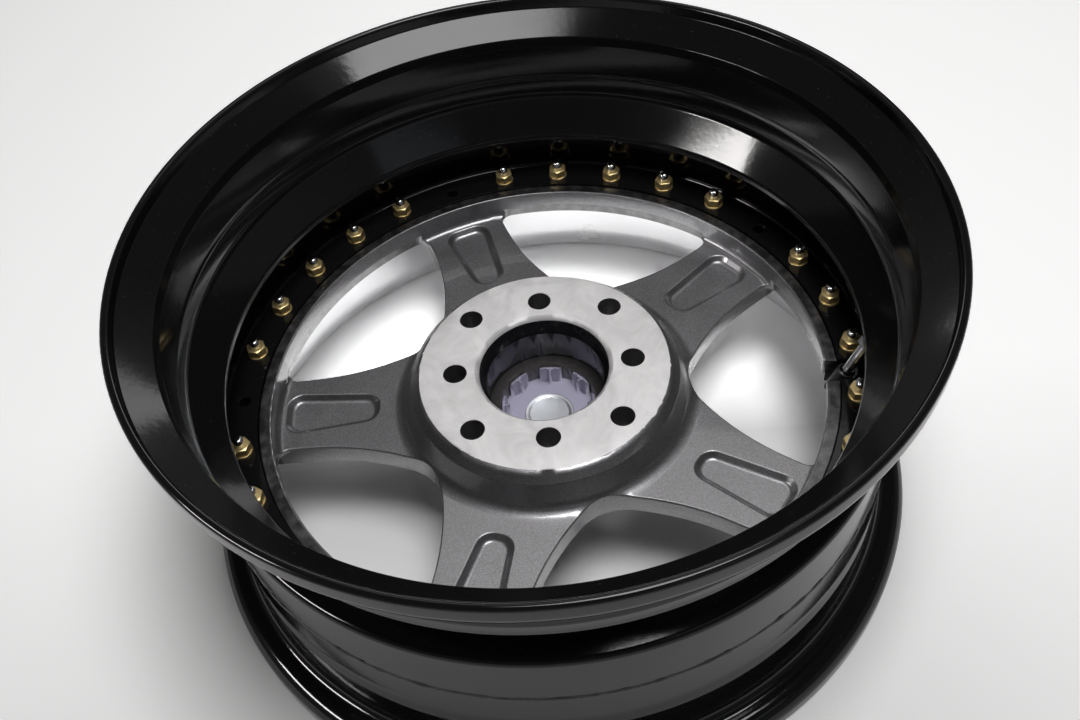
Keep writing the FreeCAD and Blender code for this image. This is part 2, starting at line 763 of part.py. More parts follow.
# Hexagon nuts on the brake side, with their top corners turned off
def nuts_bay(index):
    body = new_body("nuts_bay_%d" % (index + 1))
    seat = "(%s + washer_height)" % NUT_SEAT
    sketch = new_sketch(body, "XY_Plane", turned(0, 0, number(seat)))
    hexagon(sketch, BOLT_CIRCLE, "nut_width")
    circle(sketch, BOLT_CIRCLE, "0", "bolt_size / 2 + thread_gap")
    block = pad(body, sketch, "nut_height")
    corner = "(%s + nut_width / sqrt(3) + face_land)" % BOLT_CIRCLE
    drop = "((nut_width / sqrt(3) + face_land - nut_width / 2) / 2)"
    cut = new_sketch(body, "XZ_Plane")
    outline(cut, [
        (BOLT_CIRCLE + " + nut_width / 2", "%s + nut_height" % seat),
        (corner, "%s + nut_height - %s" % (seat, drop)),
        (corner, "%s + nut_height + face_land" % seat),
        (BOLT_CIRCLE + " + nut_width / 2", "%s + nut_height + face_land" % seat),
    ])
    middle = FreeCAD.Vector(number(BOLT_CIRCLE), 0, 0)
    rise = FreeCAD.Vector(0, number("nut_height"), 0)
    axis = cut.addGeometry(Part.LineSegment(middle, middle + rise), True)
    constrain(cut, [
        ("Vertical", axis, None),
        ("PointOnObject", axis, 1, -1, None),
        ("DistanceX", -1, 1, axis, 1, BOLT_CIRCLE),
        ("DistanceY", axis, 1, axis, 2, "nut_height"),
    ])
    groove = body.newObject("PartDesign::Groove", "Groove")
    groove.Profile = cut
    groove.ReferenceAxis = (cut, ["Axis0"])
    groove.Angle = 360
    bay(body, index, [block, groove])
    return body


# Moulded centre cap, held in the hub by a ring of tabs
def centre_cap():
    body = new_body("centre_cap")
    top = "(%s + tab_height)" % CAP_SEAT
    revolve(body, [
        ("0", CAP_SEAT),
        ("0", "-hub_height - cap_crown"),
        ("cap_flange - cap_plate", "-hub_height", "cap_round"),
        ("cap_flange", "-hub_height"),
        ("cap_flange", CAP_SEAT),
        ("tab_radius", CAP_SEAT),
        ("tab_radius", top),
        ("tab_radius - tab_wall", top),
        ("tab_radius - tab_wall", CAP_SEAT),
    ])
    first = number("tab_turn")
    slot = new_sketch(body, "XY_Plane", turned(first + 180 / number("tab_count"), 0, number(top)))
    outline(slot, [
        ("tab_radius - 2 * tab_wall", "-tab_slot / 2"),
        ("tab_radius + tab_wall", "-tab_slot / 2"),
        ("tab_radius + tab_wall", "tab_slot / 2"),
        ("tab_radius - 2 * tab_wall", "tab_slot / 2"),
    ])
    gaps = pocket(body, slot, "tab_height")
    rib = new_sketch(body, "XY_Plane", turned(first, 0, number(CAP_SEAT)))
    outline(rib, [
        ("tab_radius - tab_wall - rib_reach", "-rib_wall / 2"),
        ("tab_radius - tab_wall / 2", "-rib_wall / 2"),
        ("tab_radius - tab_wall / 2", "rib_wall / 2"),
        ("tab_radius - tab_wall - rib_reach", "rib_wall / 2"),
    ])
    ribs = pad(body, rib, "tab_height - rib_drop")
    pattern(body, [gaps, ribs], "tab_count")
    return body


# Plated disc in the back of the cap
def cap_disc():
    body = new_body("cap_disc")
    top = "(%s + disc_height)" % CAP_SEAT
    revolve(body, [
        ("0", CAP_SEAT),
        ("disc_radius", CAP_SEAT),
        ("disc_radius", top, "disc_dish"),
        ("disc_radius - disc_rim", top),
        ("disc_radius - 2 * disc_rim", top + " - disc_dish"),
        ("0", top + " - disc_dish"),
    ])
    return body


def valve_piece(label, corners):
    """Turned valve piece: corners are (radius, distance along the valve axis to the tyre side)."""
    body = new_body(label)
    revolve(body, corners)
    body.Placement = valve_frame()
    return body


# Clamp-in tyre valve, from the seal on the tyre side to the cap in the slot
def valve():
    seal = "(well_wall + valve_rest)"
    head = "(%s + valve_seal_height)" % seal
    nut = "(-valve_rest - valve_washer_height)"
    nut_end = "(%s - valve_nut_height)" % nut
    thread = "(valve_thread_length - valve_reach)"
    stem = valve_piece("valve_stem", [
        ("valve_bore", "-valve_reach"),
        ("valve_thread", "-valve_reach"),
        ("valve_thread", thread),
        ("valve_stem", thread + " + valve_thread - valve_stem"),
        ("valve_stem", nut_end + " - valve_rest - valve_neck + valve_stem"),
        ("valve_neck", nut_end + " - valve_rest"),
        ("valve_neck", head),
        ("valve_head", head),
        ("valve_head", head + " + valve_head_height", "valve_head_round"),
        ("valve_bore", head + " + valve_head_height"),
    ])
    gasket = valve_piece("valve_seal", [
        ("valve_neck + thread_gap", seal),
        ("valve_head", seal, "valve_seal_round"),
        ("valve_head", head, "valve_seal_round"),
        ("valve_neck + thread_gap", head),
    ])
    washer = valve_piece("valve_washer", [
        ("valve_neck + thread_gap", nut),
        ("valve_washer", nut),
        ("valve_washer", "-valve_rest"),
        ("valve_neck + thread_gap", "-valve_rest"),
    ])
    nut_body = new_body("valve_nut")
    sketch = new_sketch(nut_body, "XY_Plane", turned(0, 0, number(nut_end)))
    hexagon(sketch, "0", "valve_nut_width")
    circle(sketch, "0", "0", "valve_neck + thread_gap")
    pad(nut_body, sketch, "valve_nut_height")
    nut_body.Placement = valve_frame()
    core = valve_piece("valve_core", [
        ("0", "-valve_reach"),
        ("valve_bore - thread_gap", "-valve_reach"),
        ("valve_bore - thread_gap", "valve_core_length - valve_reach"),
        ("0", "valve_core_length - valve_reach"),
    ])
    bottom = "(-valve_reach - thread_gap)"
    cap = valve_piece("valve_cap", [
        ("0", bottom + " - valve_cap_end"),
        ("valve_cap", bottom + " - valve_cap_end", "valve_cap_round"),
        ("valve_cap", bottom + " - valve_cap_end + valve_cap_length", "valve_cap_round / 2"),
        ("valve_thread + thread_gap", bottom + " - valve_cap_end + valve_cap_length"),
        ("valve_thread + thread_gap", bottom),
        ("0", bottom),
    ])
    return [stem, gasket, washer, nut_body, core, cap]


parts = [inner_barrel(), outer_lip(), seam_sealant(), spoke_centre(), centre_cap(), cap_disc()]
parts += valve()
for index in range(int(number("spoke_count"))):
    parts += [bolts_bay(index), washers_bay(index), nuts_bay(index)]
doc.recompute()

# Stop on any feature that failed, then write one file for each piece
for item in doc.Objects:
    if "Invalid" in item.State or "Error" in item.State:
        raise RuntimeError("%s did not compute: %s" % (item.Name, item.State))
os.makedirs("parts", exist_ok=True)
for part in parts:
    if part.Shape.isNull() or not part.Shape.isValid() or not part.Shape.Solids:
        raise RuntimeError("%s has no valid solid" % part.Label)
    part.Shape.exportStep("parts/%s.step" % part.Label)
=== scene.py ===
"""Bolted three-piece car wheel lying on its face: pieces, finishes and studio."""
import math

import bmesh
import bpy
from bpy.props import FloatProperty, FloatVectorProperty, IntProperty, PointerProperty
from mathutils import Matrix, Vector, noise


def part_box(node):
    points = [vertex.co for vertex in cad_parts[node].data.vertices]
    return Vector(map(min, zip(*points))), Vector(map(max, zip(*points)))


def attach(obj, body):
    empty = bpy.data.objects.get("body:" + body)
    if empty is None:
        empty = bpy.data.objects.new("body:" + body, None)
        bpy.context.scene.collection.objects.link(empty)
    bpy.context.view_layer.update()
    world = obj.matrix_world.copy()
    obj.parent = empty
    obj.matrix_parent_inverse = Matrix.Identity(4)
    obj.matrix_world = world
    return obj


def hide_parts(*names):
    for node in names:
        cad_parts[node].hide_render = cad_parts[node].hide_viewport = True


bl_info = {
    "name": "Three-piece car wheel",
    "version": (1, 0, 0),
    "blender": (4, 5, 0),
    "location": "3D View > Sidebar > Wheel",
    "description": "Builds the pieces, finishes and studio of a bolted three-piece wheel",
    "category": "Object",
}

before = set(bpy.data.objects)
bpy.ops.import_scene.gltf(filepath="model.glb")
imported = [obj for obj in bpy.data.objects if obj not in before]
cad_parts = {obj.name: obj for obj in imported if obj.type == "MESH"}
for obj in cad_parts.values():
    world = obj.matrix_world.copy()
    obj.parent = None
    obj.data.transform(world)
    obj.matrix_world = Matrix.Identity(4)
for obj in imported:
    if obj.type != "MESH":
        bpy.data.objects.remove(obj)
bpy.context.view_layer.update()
BARREL_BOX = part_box("inner_barrel")
LIP_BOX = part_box("outer_lip")
BOLT_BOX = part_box("bolts_bay_1")
NUT_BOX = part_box("nuts_bay_1")
WASHER_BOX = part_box("washers_bay_1")
MM = 0.001
BAYS = 5
BAY_BOLTS = 5
PITCH = 360 / (BAYS * (BAY_BOLTS + 1))

# Rim profile in millimetres: outer and inner radii, then heights
WELL_OUTER, WELL_INNER = 173.4, 170.2
SEAT_OUTER, SEAT_INNER = 188.8, 184.4
HUMP_OUTER, HUMP_INNER = 189.6, 185.2
BEAD_OUTER, BEAD_INNER = 190.1, 185.7
FOOT_WALL, FLANGE_FOOT = 183, 187.2
BARREL_HUMP, LIP_HUMP, HUMP_HALF = 60.05, -46.05, 5
FLANGE_DEPTH = 17
FLANGE_WIDTH = 4.4
LIP_FACE = 195.8
SEAM_CHAMFER = 1.5

# Valve slot and seat in metres and degrees
SLOT_INNER, SLOT_OUTER, SLOT_HALF = 0.145, 0.1724, 0.0072
VALVE_RADIUS, VALVE_HEIGHT, VALVE_LEAN = 0.1774, 0.0218, 20.5
VALVE_HOLE = 0.00415

# Hub heights and radius where the finish changes, in metres
PAD_EDGE, BORE_EDGE = -0.0004, 0.0391
CHAMFER_LOW, CHAMFER_HIGH = -0.0026, -0.0024
CAP_SEAT_LOW, CAP_SEAT_HIGH = -0.0306, -0.0304

# Camera fitted to the ellipses of the wheel
CAMERA_PLACE = (0.01796, -0.39558, 0.46235)
CAMERA_RIGHT = Vector((0.995125, -0.049463, -0.085320))
CAMERA_UP = Vector((0.093178, 0.754996, 0.649076))
CAMERA_AHEAD = Vector((-0.032311, 0.653861, -0.755924))


class RimSizes(bpy.types.PropertyGroup):
    """Sizes of the two rim halves."""
    tip_radius: FloatProperty(
        name="Flange radius", description="Outer radius of both rim flanges",
        default=BARREL_BOX[1].x, unit="LENGTH")
    top: FloatProperty(
        name="Inboard edge", description="Height of the inboard flange above the hub pad",
        default=BARREL_BOX[1].z, unit="LENGTH")
    bottom: FloatProperty(
        name="Outboard edge", description="Height of the outboard flange, which lies on the floor",
        default=LIP_BOX[0].z, unit="LENGTH")
    seam_radius: FloatProperty(
        name="Seam radius", description="Outer radius of the joint between the rim halves",
        default=0.188, unit="LENGTH")
    seam_height: FloatProperty(
        name="Seam height", description="Height of the joint between the rim halves",
        default=BARREL_BOX[0].z, unit="LENGTH")
    bore_radius: FloatProperty(
        name="Flange bore", description="Inner radius of the bolted flanges",
        default=0.1628, unit="LENGTH")
    bolt_circle: FloatProperty(
        name="Bolt circle radius", description="Radius of the circle of rim bolts",
        default=0.1715, unit="LENGTH")
    hole_radius: FloatProperty(
        name="Bolt hole radius", description="Radius of the holes through the flanges",
        default=0.0032, unit="LENGTH")
    hole_chamfer: FloatProperty(
        name="Hole chamfer", description="Countersink of the holes on the brake side",
        default=0.001, unit="LENGTH")
    foot_top: FloatProperty(
        name="Foot top", description="Height of the inner barrel's bolted foot, under the washers",
        default=WASHER_BOX[0].z, unit="LENGTH")
    turn_steps: IntProperty(
        name="Turning steps", description="Facets round a turned piece", default=288, min=48)


class FastenerSizes(bpy.types.PropertyGroup):
    """Sizes of the rim bolts, nuts and washers."""
    shank_radius: FloatProperty(
        name="Shank radius", description="Radius of the bolt shanks", default=0.003, unit="LENGTH")
    head_width: FloatProperty(
        name="Head width", description="Bolt head across its flats", default=0.010, unit="LENGTH")
    head_height: FloatProperty(
        name="Head height", description="Height of the bolt heads", default=0.0055, unit="LENGTH")
    nut_width: FloatProperty(
        name="Nut width", description="Nut across its flats", default=0.010, unit="LENGTH")
    washer_radius: FloatProperty(
        name="Washer radius", description="Outer radius of the washers", default=0.0058, unit="LENGTH")


class Finishes(bpy.types.PropertyGroup):
    """Colours and strengths of the surface finishes."""
    black_paint: FloatVectorProperty(
        name="Rim paint", description="Gloss paint of the rim halves", subtype="COLOR",
        default=(0.006, 0.006, 0.0065))
    gunmetal: FloatVectorProperty(
        name="Centre paint", description="Metallic paint of the cast centre", subtype="COLOR",
        default=(0.235, 0.231, 0.24))
    bare_metal: FloatVectorProperty(
        name="Machined metal", description="Bare hub pad", subtype="COLOR",
        default=(0.86, 0.845, 0.845))
    polished: FloatVectorProperty(
        name="Polished lip", description="Polished face side of the outer lip", subtype="COLOR",
        default=(0.80, 0.80, 0.81))
    gold: FloatVectorProperty(
        name="Gold zinc", description="Plating of nuts and washers", subtype="COLOR",
        default=(0.46, 0.35, 0.20))
    steel: FloatVectorProperty(
        name="Bright steel", description="Bolts and valve metal", subtype="COLOR",
        default=(0.74, 0.74, 0.75))
    cap_plastic: FloatVectorProperty(
        name="Cap plastic", description="Back of the moulded centre cap", subtype="COLOR",
        default=(0.40, 0.39, 0.53))
    orange_peel: FloatProperty(
        name="Orange peel", description="Waviness of the rim paint", default=0.02, min=0, max=1)
    flake: FloatProperty(
        name="Flake", description="Grain of the metallic paint", default=0.12, min=0, max=1)


class StudioSettings(bpy.types.PropertyGroup):
    """Floor, lamps and camera."""
    floor_colour: FloatVectorProperty(
        name="Floor", description="Colour of the floor", subtype="COLOR", default=(0.94, 0.935, 0.935))
    room_level: FloatProperty(
        name="Wall level", description="Brightness of the pale walls near the floor", default=0.16, min=0)
    ceiling_level: FloatProperty(
        name="Ceiling level", description="Brightness of the dark room above the walls", default=0.05, min=0)
    key_power: FloatProperty(
        name="Key softbox", description="Power of the softbox overhead", default=22.0, unit="POWER")
    rear_power: FloatProperty(
        name="Rear softbox", description="Power of the high softbox behind the wheel",
        default=3.2, unit="POWER")
    back_power: FloatProperty(
        name="Back strip", description="Power of the low strip behind the wheel", default=4.0, unit="POWER")
    left_power: FloatProperty(
        name="Left strip", description="Power of the low strip on the left", default=9.0, unit="POWER")
    right_power: FloatProperty(
        name="Right strip", description="Power of the low cooler strip on the right",
        default=0.2, unit="POWER")
    # Painted light on the floor: how much paler it is made for camera and reflection rays, outside and
    # inside the lip
    painted_floor_light_level: FloatProperty(
        name="Painted floor light", description="How much paler the floor is to the camera and in reflections",
        default=0.42, min=0)
    painted_dish_light_level: FloatProperty(
        name="Painted dish light", description="How much paler the floor is inside the lip", default=1.6, min=0)
    lens: FloatProperty(
        name="Lens", description="Focal length on a 36 mm sensor", default=36.294, unit="CAMERA")


class WheelSettings(bpy.types.PropertyGroup):
    """Everything that can be set on the wheel."""
    rim: PointerProperty(type=RimSizes, name="Rim", description="Sizes of the rim halves")
    fasteners: PointerProperty(type=FastenerSizes, name="Fasteners", description="Rim bolt sizes")
    finishes: PointerProperty(type=Finishes, name="Finishes", description="Surface finishes")
    studio: PointerProperty(type=StudioSettings, name="Studio", description="Floor, lamps, camera")


# Node helpers
def new_material(name):
    """Material with its node tree and shader."""
    mat = bpy.data.materials.new(name)
    mat.use_nodes = True
    return mat, mat.node_tree, mat.node_tree.nodes["Principled BSDF"]


def add(tree, kind, settings=None, **inputs):
    """Add a node, set its properties, then set or link its inputs by name."""
    item = tree.nodes.new("ShaderNode" + kind)
    for key, value in (settings or {}).items():
        setattr(item, key, value)
    for key, value in inputs.items():
        join(tree, item, key, value)
    return item


def join(tree, item, key, value):
    """Set or link one input, found by name or by number."""
    by_number = key[0] == "i" and key[1:].isdigit()
    socket = item.inputs[int(key[1:]) if by_number else key.replace("_", " ")]
    if isinstance(value, bpy.types.NodeSocket):
        tree.links.new(value, socket)
    else:
        socket.default_value = value


def object_coords(tree):
    """Object coordinates."""
    return add(tree, "TexCoord").outputs["Object"]


def noise_at(tree, coords, scale, detail=2.0, rough=0.5):
    """Noise value at a scale per metre."""
    return add(tree, "TexNoise", Vector=coords, Scale=scale, Detail=detail, Roughness=rough).outputs["Fac"]


def spread(tree, value, low, high, to_low=0.0, to_high=1.0):
    """Clamped straight line from one range to another."""
    item = add(
        tree, "MapRange", {"clamp": True}, Value=value,
        From_Min=low, From_Max=high, To_Min=to_low, To_Max=to_high)
    return item.outputs["Result"]


def calc(tree, operation, first, second=0.0):
    """Sum of two values, their product and so on."""
    return add(tree, "Math", {"operation": operation}, i0=first, i1=second).outputs[0]


def mix_value(tree, factor, first, second):
    """Value between two values."""
    return add(tree, "Mix", {"data_type": "FLOAT"}, i0=factor, i2=first, i3=second).outputs[0]


def mix_colour(tree, factor, first, second):
    """Colour between two colours."""
    item = add(tree, "Mix", {"data_type": "RGBA"}, i0=factor, i6=first, i7=second)
    return item.outputs[2]


def rgba(colour, gain=1.0):
    """Colour property as a socket value."""
    return (colour[0] * gain, colour[1] * gain, colour[2] * gain, 1.0)


def bump(tree, shader, height, strength, distance=0.0002):
    """Fine relief of a surface."""
    item = add(tree, "Bump", Height=height, Strength=strength, Distance=distance)
    tree.links.new(item.outputs["Normal"], shader.inputs["Normal"])


def axis_of(tree, coords, axis):
    """One of the three coordinates."""
    return add(tree, "SeparateXYZ", Vector=coords).outputs[axis]


def axis_distance(tree, coords):
    """Distance from the wheel axis."""
    flat = add(tree, "VectorMath", {"operation": "MULTIPLY"}, i0=coords, i1=(1.0, 1.0, 0.0))
    return add(tree, "VectorMath", {"operation": "LENGTH"}, i0=flat.outputs[0]).outputs["Value"]


# Finishes
def black_paint():
    """Gloss black rim paint with slight orange peel and specks of dust."""
    look = bpy.context.scene.car_wheel.finishes
    mat, tree, shader = new_material("gloss_black_paint")
    coords = object_coords(tree)
    specks = spread(tree, noise_at(tree, coords, 900, 1), 0.74, 0.80)
    colour = mix_colour(tree, specks, rgba(look.black_paint), rgba((0.05, 0.05, 0.05)))
    join(tree, shader, "Base Color", colour)
    patches = noise_at(tree, coords, 22, 4)
    join(tree, shader, "Roughness", spread(tree, patches, 0.3, 0.7, 0.08, 0.14))
    shader.inputs["Specular IOR Level"].default_value = 0.3
    bump(tree, shader, noise_at(tree, coords, 320, 2), look.orange_peel, 0.001)
    return mat


def polished_metal():
    """Polished aluminium with fine turning lines."""
    look = bpy.context.scene.car_wheel.finishes
    mat, tree, shader = new_material("polished_aluminium")
    coords = object_coords(tree)
    shader.inputs["Metallic"].default_value = 1.0
    cloud = noise_at(tree, coords, 18, 4)
    join(tree, shader, "Base Color", mix_colour(tree, cloud, rgba(look.polished, 0.88), rgba(look.polished)))
    rings = add(tree, "CombineXYZ", X=axis_distance(tree, coords), Z=axis_of(tree, coords, "Z"))
    lines = noise_at(tree, rings.outputs[0], 2500, 2)
    join(tree, shader, "Roughness", spread(tree, cloud, 0.3, 0.7, 0.26, 0.36))
    bump(tree, shader, lines, 0.05, 0.0003)
    return mat


def sealant_rubber():
    """Dull black sealant, smeared by hand."""
    mat, tree, shader = new_material("black_sealant")
    coords = object_coords(tree)
    smear = noise_at(tree, coords, 140, 4)
    colour = mix_colour(tree, smear, rgba((0.008, 0.008, 0.008)), rgba((0.03, 0.03, 0.03)))
    join(tree, shader, "Base Color", colour)
    join(tree, shader, "Roughness", spread(tree, smear, 0.3, 0.7, 0.3, 0.55))
    bump(tree, shader, noise_at(tree, coords, 500, 3), 0.3, 0.0005)
    return mat


def gunmetal_casting():
    """Metallic grey paint on the cast centre, bare machined metal on the hub pad, a dark bore."""
    wheel = bpy.context.scene.car_wheel
    look = wheel.finishes
    mat, tree, shader = new_material("gunmetal_casting")
    coords = object_coords(tree)
    height = axis_of(tree, coords, "Z")
    distance = axis_distance(tree, coords)
    chips = spread(tree, noise_at(tree, coords, 210, 3), 0.45, 0.72, 0.0, 0.0012)
    patches = spread(tree, noise_at(tree, coords, 13, 2), 0.48, 0.60)
    worn = calc(tree, "ADD", height, calc(tree, "MULTIPLY", chips, patches))
    pad = spread(tree, worn, PAD_EDGE, PAD_EDGE / 2)
    in_bore = spread(tree, distance, BORE_EDGE, BORE_EDGE + 0.0001, 1.0, 0.0)
    chamfer = calc(tree, "MULTIPLY", in_bore, spread(tree, height, CHAMFER_LOW, CHAMFER_HIGH))
    pad = calc(tree, "MAXIMUM", pad, chamfer)
    hollow = calc(tree, "MULTIPLY", in_bore, spread(tree, height, CHAMFER_HIGH, CHAMFER_LOW))
    seat = calc(tree, "MULTIPLY", in_bore, spread(tree, height, CAP_SEAT_HIGH, CAP_SEAT_LOW))

    grain = spread(tree, noise_at(tree, coords, 1700, 2), 0.32, 0.68)
    cloud = noise_at(tree, coords, 30, 3)
    shade = calc(tree, "ADD", calc(tree, "MULTIPLY", grain, 0.7), calc(tree, "MULTIPLY", cloud, 0.3))
    paint = mix_colour(tree, shade, rgba(look.gunmetal, 0.55), rgba(look.gunmetal, 1.45))
    # Darker mottled band over the centre's outer edge, from just inside the barrel flange outward
    outer_band = spread(tree, noise_at(tree, coords, 160, 5), 0.30, 0.60, 0.55, 1.0)
    bore = wheel.rim.bore_radius
    outer_band = calc(tree, "MULTIPLY", outer_band, spread(tree, distance, bore - 0.0075, bore - 0.006))
    paint = mix_colour(tree, outer_band, paint, rgba((0.035, 0.034, 0.034)))
    smears = add(
        tree, "TexNoise", Vector=coords, Scale=38.0, Detail=7.0, Roughness=0.66, Distortion=1.2)
    stains = spread(tree, smears.outputs["Fac"], 0.34, 0.60)
    bare = mix_colour(tree, stains, rgba(look.bare_metal, 0.88), rgba(look.bare_metal, 1.06))
    dust = noise_at(tree, coords, 420, 4)
    seat_colour = mix_colour(tree, dust, rgba((0.035, 0.032, 0.032)), rgba((0.10, 0.092, 0.09)))
    colour = mix_colour(tree, hollow, mix_colour(tree, pad, paint, bare), rgba((0.012, 0.012, 0.014)))
    join(tree, shader, "Base Color", mix_colour(tree, seat, colour, seat_colour))
    metal = spread(tree, pad, 0.0, 1.0, 0.85, 0.25)
    join(tree, shader, "Metallic", calc(tree, "MULTIPLY", metal, calc(tree, "SUBTRACT", 1.0, hollow)))
    paint_rough = spread(tree, cloud, 0.3, 0.7, 0.36, 0.44)
    bare_rough = spread(tree, stains, 0.0, 1.0, 0.50, 0.60)
    mixed = mix_value(tree, pad, paint_rough, bare_rough)
    inner = spread(tree, seat, 0.0, 1.0, 0.15, 0.6)
    join(tree, shader, "Roughness", mix_value(tree, hollow, mixed, inner))
    join(tree, shader, "Coat Weight", spread(tree, pad, 0.0, 1.0, 1.0, 0.0))
    shader.inputs["Coat Roughness"].default_value = 0.05
    bump(tree, shader, grain, look.flake, 0.0002)
    return mat


def gold_zinc():
    """Yellow chromate plating with pink and green tints."""
    look = bpy.context.scene.car_wheel.finishes
    mat, tree, shader = new_material("gold_zinc")
    coords = object_coords(tree)
    shader.inputs["Metallic"].default_value = 1.0
    tint = noise_at(tree, coords, 260, 2)
    pink = mix_colour(tree, spread(tree, tint, 0.52, 0.68), rgba(look.gold), rgba((0.74, 0.46, 0.38)))
    both = mix_colour(tree, spread(tree, tint, 0.48, 0.34), pink, rgba((0.52, 0.58, 0.27)))
    join(tree, shader, "Base Color", both)
    join(tree, shader, "Roughness", spread(tree, noise_at(tree, coords, 700, 2), 0.3, 0.7, 0.10, 0.20))
    return mat


def bright_steel():
    """Bright plated steel of the bolts and the valve."""
    look = bpy.context.scene.car_wheel.finishes
    mat, tree, shader = new_material("bright_steel")
    coords = object_coords(tree)
    shader.inputs["Metallic"].default_value = 1.0
    cloud = noise_at(tree, coords, 400, 3)
    join(tree, shader, "Base Color", mix_colour(tree, cloud, rgba(look.steel, 0.85), rgba(look.steel, 1.05)))
    join(tree, shader, "Roughness", spread(tree, cloud, 0.3, 0.7, 0.1, 0.2))
    return mat


def moulded_plastic():
    """Lavender grey back of the moulded cap."""
    look = bpy.context.scene.car_wheel.finishes
    mat, tree, shader = new_material("cap_plastic")
    coords = object_coords(tree)
    cloud = noise_at(tree, coords, 90, 3)
    colour = mix_colour(tree, cloud, rgba(look.cap_plastic, 0.9), rgba(look.cap_plastic, 1.1))
    join(tree, shader, "Base Color", colour)
    join(tree, shader, "Roughness", spread(tree, cloud, 0.3, 0.7, 0.35, 0.5))
    bump(tree, shader, noise_at(tree, coords, 1500, 2), 0.05, 0.0002)
    return mat


def plated_disc():
    """Zinc plated disc with a cloudy bloom."""
    look = bpy.context.scene.car_wheel.finishes
    mat, tree, shader = new_material("plated_disc")
    coords = object_coords(tree)
    shader.inputs["Metallic"].default_value = 1.0
    bloom = add(tree, "TexVoronoi", Vector=coords, Scale=320.0).outputs["Color"]
    value = add(tree, "SeparateColor", Color=bloom).outputs[0]
    join(tree, shader, "Base Color", mix_colour(tree, value, rgba(look.steel, 0.5), rgba(look.steel, 0.95)))
    join(tree, shader, "Roughness", spread(tree, value, 0.0, 1.0, 0.28, 0.48))
    return mat


def black_rubber():
    """Black rubber and plastic of the valve."""
    mat, tree, shader = new_material("black_rubber")
    coords = object_coords(tree)
    dust = noise_at(tree, coords, 300, 4)
    colour = mix_colour(tree, dust, rgba((0.008, 0.008, 0.009)), rgba((0.02, 0.02, 0.02)))
    join(tree, shader, "Base Color", colour)
    join(tree, shader, "Roughness", spread(tree, dust, 0.3, 0.7, 0.3, 0.5))
    return mat


def finish(name, maker):
    """Material made once and shared."""
    return bpy.data.materials.get(name) or maker()


# Mesh helpers
def turned(corners, steps):
    """Closed shell turned about the wheel axis from (radius, height, round) corners in millimetres."""
    shell = bmesh.new()
    points = [Vector((c[0], 0, c[1])) * MM for c in corners]
    verts = [shell.verts.new(point) for point in points]
    shell.faces.new(verts)
    for i, vert in enumerate(verts):
        if len(corners[i]) == 2:
            continue
        back = points[i - 1] - points[i]
        ahead = points[(i + 1) % len(points)] - points[i]
        half = back.angle(ahead) / 2
        count = max(3, round((math.pi - 2 * half) / math.radians(8)))
        bmesh.ops.bevel(
            shell, geom=[vert], offset=corners[i][2] * MM / math.tan(half), offset_type="ABSOLUTE",
            segments=count, profile=0.5, affect="VERTICES", material=-1)
    bmesh.ops.delete(shell, geom=shell.faces[:], context="FACES_ONLY")
    bmesh.ops.spin(
        shell, geom=shell.verts[:] + shell.edges[:], cent=(0, 0, 0), axis=(0, 0, 1),
        angle=2 * math.pi, steps=steps, use_merge=True, use_duplicate=False)
    bmesh.ops.remove_doubles(shell, verts=shell.verts[:], dist=1e-7)
    bmesh.ops.recalc_face_normals(shell, faces=shell.faces[:])
    return shell


def round_bars(cutter, radius, low, high, distance, angles, top_radius=None):
    """Add upright round or tapered bars on a circle to a cutter."""
    for angle in angles:
        turn = Matrix.Rotation(math.radians(angle), 4, "Z")
        place = turn @ Matrix.Translation((distance, 0, (low + high) / 2))
        bmesh.ops.create_cone(
            cutter, cap_ends=True, segments=32, radius1=radius, radius2=top_radius or radius,
            depth=high - low, matrix=place)


def slot_bar(cutter, low, high):
    """Add the valve slot's rounded bar to a cutter."""
    before = set(cutter.verts)
    bmesh.ops.create_cube(cutter, size=1)
    verts = [v for v in cutter.verts if v not in before]
    middle = ((SLOT_OUTER + SLOT_INNER) / 2, 0, (high + low) / 2)
    bmesh.ops.scale(cutter, vec=(SLOT_OUTER - SLOT_INNER, 2 * SLOT_HALF, high - low), verts=verts)
    bmesh.ops.translate(cutter, vec=middle, verts=verts)
    corners = [e for v in verts for e in v.link_edges
               if all(abs(w.co.x - SLOT_OUTER) < 1e-6 for w in e.verts)
               and abs(e.verts[0].co.z - e.verts[1].co.z) > 1e-4]
    bmesh.ops.bevel(
        cutter, geom=list(dict.fromkeys(corners)), offset=SLOT_HALF - 0.0004, offset_type="OFFSET",
        segments=6, profile=0.5, affect="EDGES", material=-1)
    loose = [v for v in cutter.verts if v not in before]
    turn = Matrix.Rotation(math.radians(-PITCH / 2), 3, "Z")
    bmesh.ops.rotate(cutter, cent=(0, 0, 0), matrix=turn, verts=loose)


def new_object(name, shape):
    """Object at the origin from a bmesh."""
    mesh = bpy.data.meshes.new(name)
    shape.to_mesh(mesh)
    shape.free()
    item = bpy.data.objects.new(name, mesh)
    bpy.context.scene.collection.objects.link(item)
    return item


def cut(item, cutter, operation="DIFFERENCE"):
    """Cut an object by a bmesh and keep the result as its mesh."""
    tool = new_object("cutter", cutter)
    change = item.modifiers.new("Cut", "BOOLEAN")
    change.solver = "EXACT"
    change.operation = operation
    change.object = tool
    graph = bpy.context.evaluated_depsgraph_get()
    result = bpy.data.meshes.new_from_object(item.evaluated_get(graph))
    old = item.data
    item.modifiers.clear()
    item.data = result
    result.name = item.name
    bpy.data.meshes.remove(old)
    tool_mesh = tool.data
    bpy.data.objects.remove(tool)
    bpy.data.meshes.remove(tool_mesh)


def dress(item, materials, nodes, sharp=32.0):
    """Shade a finished piece, give it its finish and place it on the wheel."""
    for mat in materials:
        item.data.materials.append(mat)
    item.data.shade_smooth()
    item.data.set_sharp_from_angle(angle=math.radians(sharp))
    normals = item.modifiers.new("Weighted normals", "WEIGHTED_NORMAL")
    normals.keep_sharp = True
    if nodes:
        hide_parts(*nodes)
    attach(item, "root")
    return item


